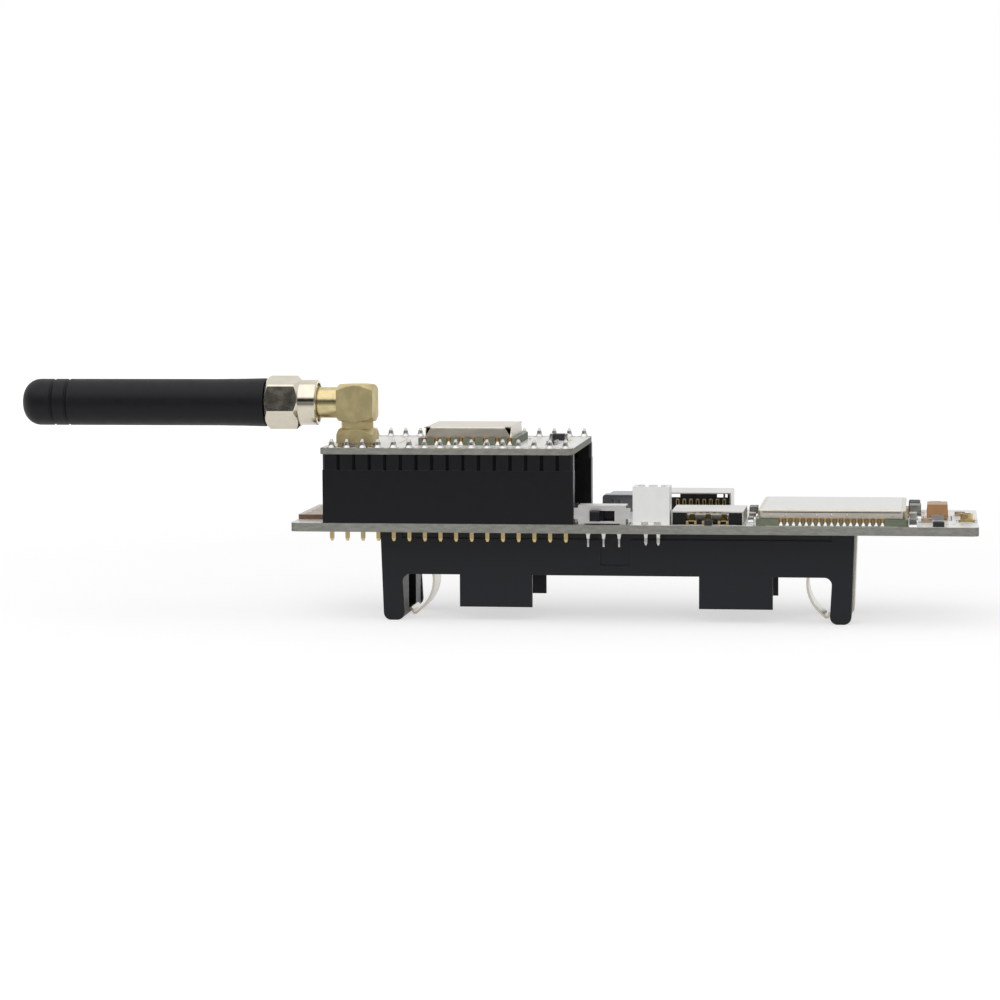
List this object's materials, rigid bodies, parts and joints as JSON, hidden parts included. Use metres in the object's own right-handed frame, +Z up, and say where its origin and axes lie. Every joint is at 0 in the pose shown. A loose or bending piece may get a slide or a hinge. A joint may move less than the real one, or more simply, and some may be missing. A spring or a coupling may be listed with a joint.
{
  "type": "lora development module",
  "caption": "Two-board radio module: long main board on a cell holder, plugged-on radio shield, cellular module, slide switch and screwed-on stub antenna.",
  "frame": {"origin": "bottom centre of the whole part's box, on the plane that the battery holder's feet stand on", "axes": "+Z up from the feet to the boards, +X along the main board away from the antenna's tip, +Y from the switch's edge to the edge with the USB receptacle"},
  "size_m": [0.1558, 0.0322, 0.0398],
  "materials": {
    "white_board": "gloss",
    "green_board": "gloss",
    "dark_board": "gloss",
    "black_plastic": "satin",
    "holder_plastic": "satin",
    "white_plastic": "satin",
    "white_dielectric": "satin",
    "chip_plastic": "matte",
    "tan_ceramic": "satin",
    "tan_resin": "satin",
    "black_rubber": "matte",
    "gold_contact": "polished",
    "gold_plate": "polished",
    "nickel_plate": "polished",
    "tinned_pin": "satin",
    "solder": "satin",
    "steel_frame": "satin",
    "steel_can": "satin",
    "white_paper": "matte"
  },
  "bodies": {
    "boards": {"main_board": "white_board", "shield_board": "white_board", "header_socket_near": "black_plastic", "header_socket_far": "black_plastic", "pin_strip_near": "black_plastic", "pin_strip_far": "black_plastic", "header_contacts_near": "gold_contact", "header_contacts_far": "gold_contact", "header_pins_near": "tinned_pin", "header_pins_far": "tinned_pin", "shield_solder": "solder", "board_solder": "solder", "jack_body": "gold_plate", "jack_insulator": "white_dielectric", "jack_contact": "gold_contact", "radio_board": "green_board", "radio_can": "steel_can", "radio_chip": "chip_plastic", "radio_crystal": "steel_can", "processor_board": "dark_board", "processor_can": "steel_can", "processor_chip": "chip_plastic", "switch_frame": "steel_frame", "switch_base": "black_plastic", "switch_pins": "tinned_pin", "plug_housing": "white_plastic", "plug_pins": "tinned_pin", "usb_shell": "steel_frame", "usb_tongue": "black_plastic", "card_shell": "steel_frame", "card_base": "black_plastic", "card_contacts": "gold_contact", "sim_shell": "steel_frame", "sim_base": "black_plastic", "sim_contacts": "gold_contact", "cell_board": "green_board", "cell_frame": "steel_can", "cell_lid": "steel_can", "cell_label": "white_paper", "tantalum_capacitor": "tan_resin", "capacitor_ends": "tinned_pin", "main_chips": "chip_plastic", "shield_chips": "chip_plastic", "ceramic_parts": "tan_ceramic", "power_inductor": "chip_plastic", "coax_socket": "gold_contact", "battery_holder": "holder_plastic", "contact_spring_left": "nickel_plate", "contact_spring_right": "nickel_plate"},
    "switch_slider": {"switch_knob": "black_plastic"},
    "antenna": {"antenna_sleeve": "black_rubber", "antenna_ferrule": "gold_plate", "antenna_ring": "nickel_plate", "antenna_insulator": "white_dielectric", "antenna_pin": "gold_contact", "antenna_coil": "gold_contact"},
    "coupling_nut": {"antenna_nut": "nickel_plate"}
  },
  "joints": [
    {"name": "switch_slide", "type": "slide", "parent": "boards", "child": "switch_slider", "axis": [1, 0, 0], "range_m": [0, 0.0022]},
    {"name": "antenna_draw", "type": "slide", "parent": "boards", "child": "antenna", "axis": [-1, 0, 0], "range_m": [0, 0.00353]},
    {"name": "nut_turn", "type": "hinge", "parent": "antenna", "child": "coupling_nut", "pos_m": [-0.03261, -0.00955, 0.03549], "axis": [-1, 0, 0], "range_deg": [0, 1800]}
  ],
  "couplings": [
    {"joint": "nut_turn", "follows": "antenna_draw", "rad_per_m": 8904.7}
  ]
}
